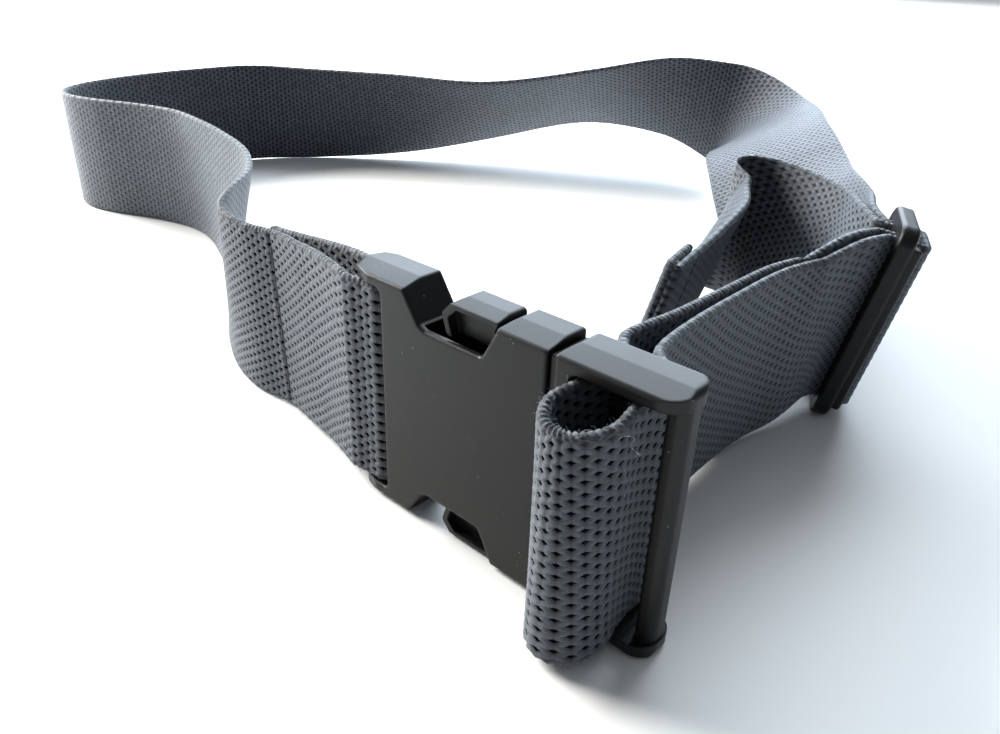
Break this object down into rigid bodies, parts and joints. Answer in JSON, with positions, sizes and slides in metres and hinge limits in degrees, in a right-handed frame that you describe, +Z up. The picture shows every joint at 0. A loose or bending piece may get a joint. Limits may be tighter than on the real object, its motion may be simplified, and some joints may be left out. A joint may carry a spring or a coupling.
{
  "type": "webbing weight belt",
  "caption": "Wide webbing waist belt standing on edge, closed by a side-release buckle, with a ribbed adjuster bar, a tri-glide and a hemmed tail.",
  "frame": {"origin": "middle of the flat underside of the socket's mouth bridge, which the belt stands on", "axes": "+X along the buckle from the socket to the plug, +Z up across the webbing, and the buckle's outer face looks along -Y"},
  "size_m": [0.3714, 0.3181, 0.0646],
  "materials": {
    "plastic": "satin",
    "webbing": "matte",
    "thread": "satin"
  },
  "bodies": {
    "belt": {"socket": "plastic", "socket_wrap": "webbing", "sewn_outer_layer": "webbing", "sewn_inner_layer": "webbing", "left_run": "webbing", "left_turn": "webbing", "far_run": "webbing", "lifted_corner": "webbing", "side_run": "webbing", "side_run_end": "webbing", "tail_start": "webbing", "tail_run": "webbing", "tail_end": "webbing", "tail_hem": "webbing", "outer_strap": "webbing", "inner_strap": "webbing", "sewn_stitching": "thread", "hem_stitching": "thread"},
    "plug": {"plug_frame": "plastic", "adjuster_roll": "webbing"},
    "upper_prong": {"upper_prong": "plastic"},
    "lower_prong": {"lower_prong": "plastic"},
    "tri_glide": {"tri_glide": "plastic", "glide_wrap_outer": "webbing", "glide_wrap_inner": "webbing"}
  },
  "joints": [
    {"name": "plug_release", "type": "slide", "parent": "belt", "child": "plug", "axis": [1, 0, 0], "range_m": [0, 0.045], "deforming": ["outer_strap", "inner_strap", "upper_prong", "lower_prong"]},
    {"name": "upper_prong_squeeze", "type": "hinge", "parent": "plug", "child": "upper_prong", "pos_m": [0.00805, -0.00287, 0.0522], "axis": [0, -1, 0], "range_deg": [0, 11], "stiffness_Nm_per_rad": 1.2},
    {"name": "lower_prong_squeeze", "type": "hinge", "parent": "plug", "child": "lower_prong", "pos_m": [0.00805, -0.00287, 0.0048], "axis": [0, 1, 0], "range_deg": [0, 11], "stiffness_Nm_per_rad": 1.2},
    {"name": "glide_adjust", "type": "slide", "parent": "belt", "child": "tri_glide", "axis": [-0.3987, 0.9171, 0], "range_m": [-0.006, 0.006], "deforming": ["outer_strap", "inner_strap", "side_run_end", "tail_start"]}
  ]
}
